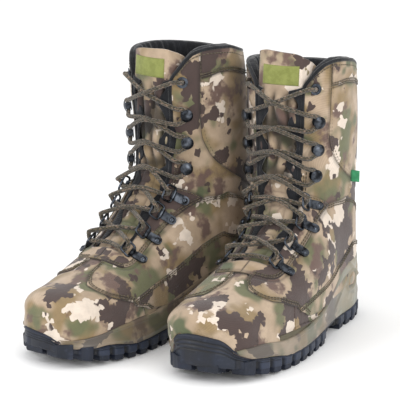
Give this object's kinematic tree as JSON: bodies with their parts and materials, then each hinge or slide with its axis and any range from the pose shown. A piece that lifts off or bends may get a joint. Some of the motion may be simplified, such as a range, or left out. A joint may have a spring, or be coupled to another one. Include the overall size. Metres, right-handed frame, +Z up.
{
  "type": "insulated hunting boots",
  "caption": "Pair of tall insulated lace-up field boots with camouflage uppers, ring and hook lacing and lugged rubber soles.",
  "frame": {"origin": "on the floor, at the centre of the pair's bounding box", "axes": "+Z up, toes towards -Y, the wearer's left boot at +X"},
  "size_m": [0.2436, 0.3338, 0.2662],
  "materials": {
    "rubber": "matte moulded rubber",
    "midsole": "matte moulded foam rubber",
    "shank": "rolled spring steel",
    "board": "pressed fibre board",
    "footbed": "felt over foam",
    "camo": "printed twill in tan, olive, brown and cream patches",
    "rand": "printed moulded rubber, semi-gloss",
    "stiffener": "thermoplastic sheet",
    "insulation": "lofted fibre",
    "lining": "brushed knit",
    "black_fabric": "padded woven fabric",
    "black_metal": "black semi-gloss lacquer on steel",
    "gunmetal": "gunmetal plated steel",
    "lace": "round braid",
    "aglet": "clear-lacquered tip"
  },
  "bodies": {
    "left_boot": {"left_outsole": "rubber", "left_midsole": "midsole", "left_shank": "shank", "left_insole_board": "board", "left_footbed": "footbed", "left_vamp": "camo", "left_quarters": "camo", "left_leg_panel": "camo", "left_rand": "rand", "left_eyestays": "camo", "left_stiffeners": "stiffener", "left_insulation": "insulation", "left_lining": "lining", "left_tongue": "camo", "left_gusset": "black_fabric", "left_collar": "black_fabric", "left_ring_clips": "black_metal", "left_rivets": "gunmetal", "left_hooks": "black_metal", "left_eyelets": "gunmetal", "left_lace": "lace", "left_aglets": "aglet"},
    "left_ring_lateral_1": {"left_ring_lateral_1": "gunmetal"},
    "left_ring_lateral_2": {"left_ring_lateral_2": "gunmetal"},
    "left_ring_lateral_3": {"left_ring_lateral_3": "gunmetal"},
    "left_ring_lateral_4": {"left_ring_lateral_4": "gunmetal"},
    "left_ring_medial_1": {"left_ring_medial_1": "gunmetal"},
    "left_ring_medial_2": {"left_ring_medial_2": "gunmetal"},
    "left_ring_medial_3": {"left_ring_medial_3": "gunmetal"},
    "left_ring_medial_4": {"left_ring_medial_4": "gunmetal"},
    "right_boot": {"right_outsole": "rubber", "right_midsole": "midsole", "right_shank": "shank", "right_insole_board": "board", "right_footbed": "footbed", "right_vamp": "camo", "right_quarters": "camo", "right_leg_panel": "camo", "right_rand": "rand", "right_eyestays": "camo", "right_stiffeners": "stiffener", "right_insulation": "insulation", "right_lining": "lining", "right_tongue": "camo", "right_gusset": "black_fabric", "right_collar": "black_fabric", "right_ring_clips": "black_metal", "right_rivets": "gunmetal", "right_hooks": "black_metal", "right_eyelets": "gunmetal", "right_lace": "lace", "right_aglets": "aglet"},
    "right_ring_lateral_1": {"right_ring_lateral_1": "gunmetal"},
    "right_ring_lateral_2": {"right_ring_lateral_2": "gunmetal"},
    "right_ring_lateral_3": {"right_ring_lateral_3": "gunmetal"},
    "right_ring_lateral_4": {"right_ring_lateral_4": "gunmetal"},
    "right_ring_medial_1": {"right_ring_medial_1": "gunmetal"},
    "right_ring_medial_2": {"right_ring_medial_2": "gunmetal"},
    "right_ring_medial_3": {"right_ring_medial_3": "gunmetal"},
    "right_ring_medial_4": {"right_ring_medial_4": "gunmetal"}
  },
  "joints": [
    {"name": "left_ring_lateral_1_swivel", "type": "hinge", "parent": "left_boot", "child": "left_ring_lateral_1", "pos_m": [0.09557, -0.02239, 0.08987], "axis": [-0.018, 0.9107, 0.4128], "range_deg": [-8, 12], "deforming": ["left_lace"]},
    {"name": "left_ring_lateral_2_swivel", "type": "hinge", "parent": "left_boot", "child": "left_ring_lateral_2", "pos_m": [0.09598, 0.00271, 0.10269], "axis": [-0.023, 0.8409, 0.5408], "range_deg": [-8, 12]},
    {"name": "left_ring_lateral_3_swivel", "type": "hinge", "parent": "left_boot", "child": "left_ring_lateral_3", "pos_m": [0.0948, 0.02299, 0.11859], "axis": [-0.1418, 0.6602, 0.7376], "range_deg": [-8, 12]},
    {"name": "left_ring_lateral_4_swivel", "type": "hinge", "parent": "left_boot", "child": "left_ring_lateral_4", "pos_m": [0.09202, 0.03625, 0.1349], "axis": [-0.2326, 0.443, 0.8658], "range_deg": [-8, 12]},
    {"name": "left_ring_medial_1_swivel", "type": "hinge", "parent": "left_boot", "child": "left_ring_medial_1", "pos_m": [0.04264, -0.02937, 0.09], "axis": [-0.0527, -0.9112, -0.4085], "range_deg": [-8, 12]},
    {"name": "left_ring_medial_2_swivel", "type": "hinge", "parent": "left_boot", "child": "left_ring_medial_2", "pos_m": [0.04243, -0.00448, 0.10283], "axis": [0.0262, -0.8407, -0.5409], "range_deg": [-8, 12]},
    {"name": "left_ring_medial_3_swivel", "type": "hinge", "parent": "left_boot", "child": "left_ring_medial_3", "pos_m": [0.03916, 0.01494, 0.11843], "axis": [0.1743, -0.6541, -0.736], "range_deg": [-8, 12]},
    {"name": "left_ring_medial_4_swivel", "type": "hinge", "parent": "left_boot", "child": "left_ring_medial_4", "pos_m": [0.03322, 0.0274, 0.13432], "axis": [0.2118, -0.4476, -0.8688], "range_deg": [-8, 12]},
    {"name": "right_ring_lateral_1_swivel", "type": "hinge", "parent": "right_boot", "child": "right_ring_lateral_1", "pos_m": [-0.09557, -0.05339, 0.08987], "axis": [-0.018, -0.9107, -0.4128], "range_deg": [-8, 12], "deforming": ["right_lace"]},
    {"name": "right_ring_lateral_2_swivel", "type": "hinge", "parent": "right_boot", "child": "right_ring_lateral_2", "pos_m": [-0.09598, -0.02829, 0.10269], "axis": [-0.023, -0.8409, -0.5408], "range_deg": [-8, 12]},
    {"name": "right_ring_lateral_3_swivel", "type": "hinge", "parent": "right_boot", "child": "right_ring_lateral_3", "pos_m": [-0.0948, -0.00801, 0.11859], "axis": [-0.1418, -0.6602, -0.7376], "range_deg": [-8, 12]},
    {"name": "right_ring_lateral_4_swivel", "type": "hinge", "parent": "right_boot", "child": "right_ring_lateral_4", "pos_m": [-0.09202, 0.00525, 0.1349], "axis": [-0.2326, -0.443, -0.8658], "range_deg": [-8, 12]},
    {"name": "right_ring_medial_1_swivel", "type": "hinge", "parent": "right_boot", "child": "right_ring_medial_1", "pos_m": [-0.04264, -0.06037, 0.09], "axis": [-0.0527, 0.9112, 0.4085], "range_deg": [-8, 12]},
    {"name": "right_ring_medial_2_swivel", "type": "hinge", "parent": "right_boot", "child": "right_ring_medial_2", "pos_m": [-0.04243, -0.03548, 0.10283], "axis": [0.0262, 0.8407, 0.5409], "range_deg": [-8, 12]},
    {"name": "right_ring_medial_3_swivel", "type": "hinge", "parent": "right_boot", "child": "right_ring_medial_3", "pos_m": [-0.03916, -0.01606, 0.11843], "axis": [0.1743, 0.6541, 0.736], "range_deg": [-8, 12]},
    {"name": "right_ring_medial_4_swivel", "type": "hinge", "parent": "right_boot", "child": "right_ring_medial_4", "pos_m": [-0.03322, -0.0036, 0.13432], "axis": [0.2118, 0.4476, 0.8688], "range_deg": [-8, 12]},
    {"name": "right_boot_slide", "type": "slide", "parent": "left_boot", "child": "right_boot", "axis": [-1, 0, 0], "range_m": [0, 0.25]}
  ]
}
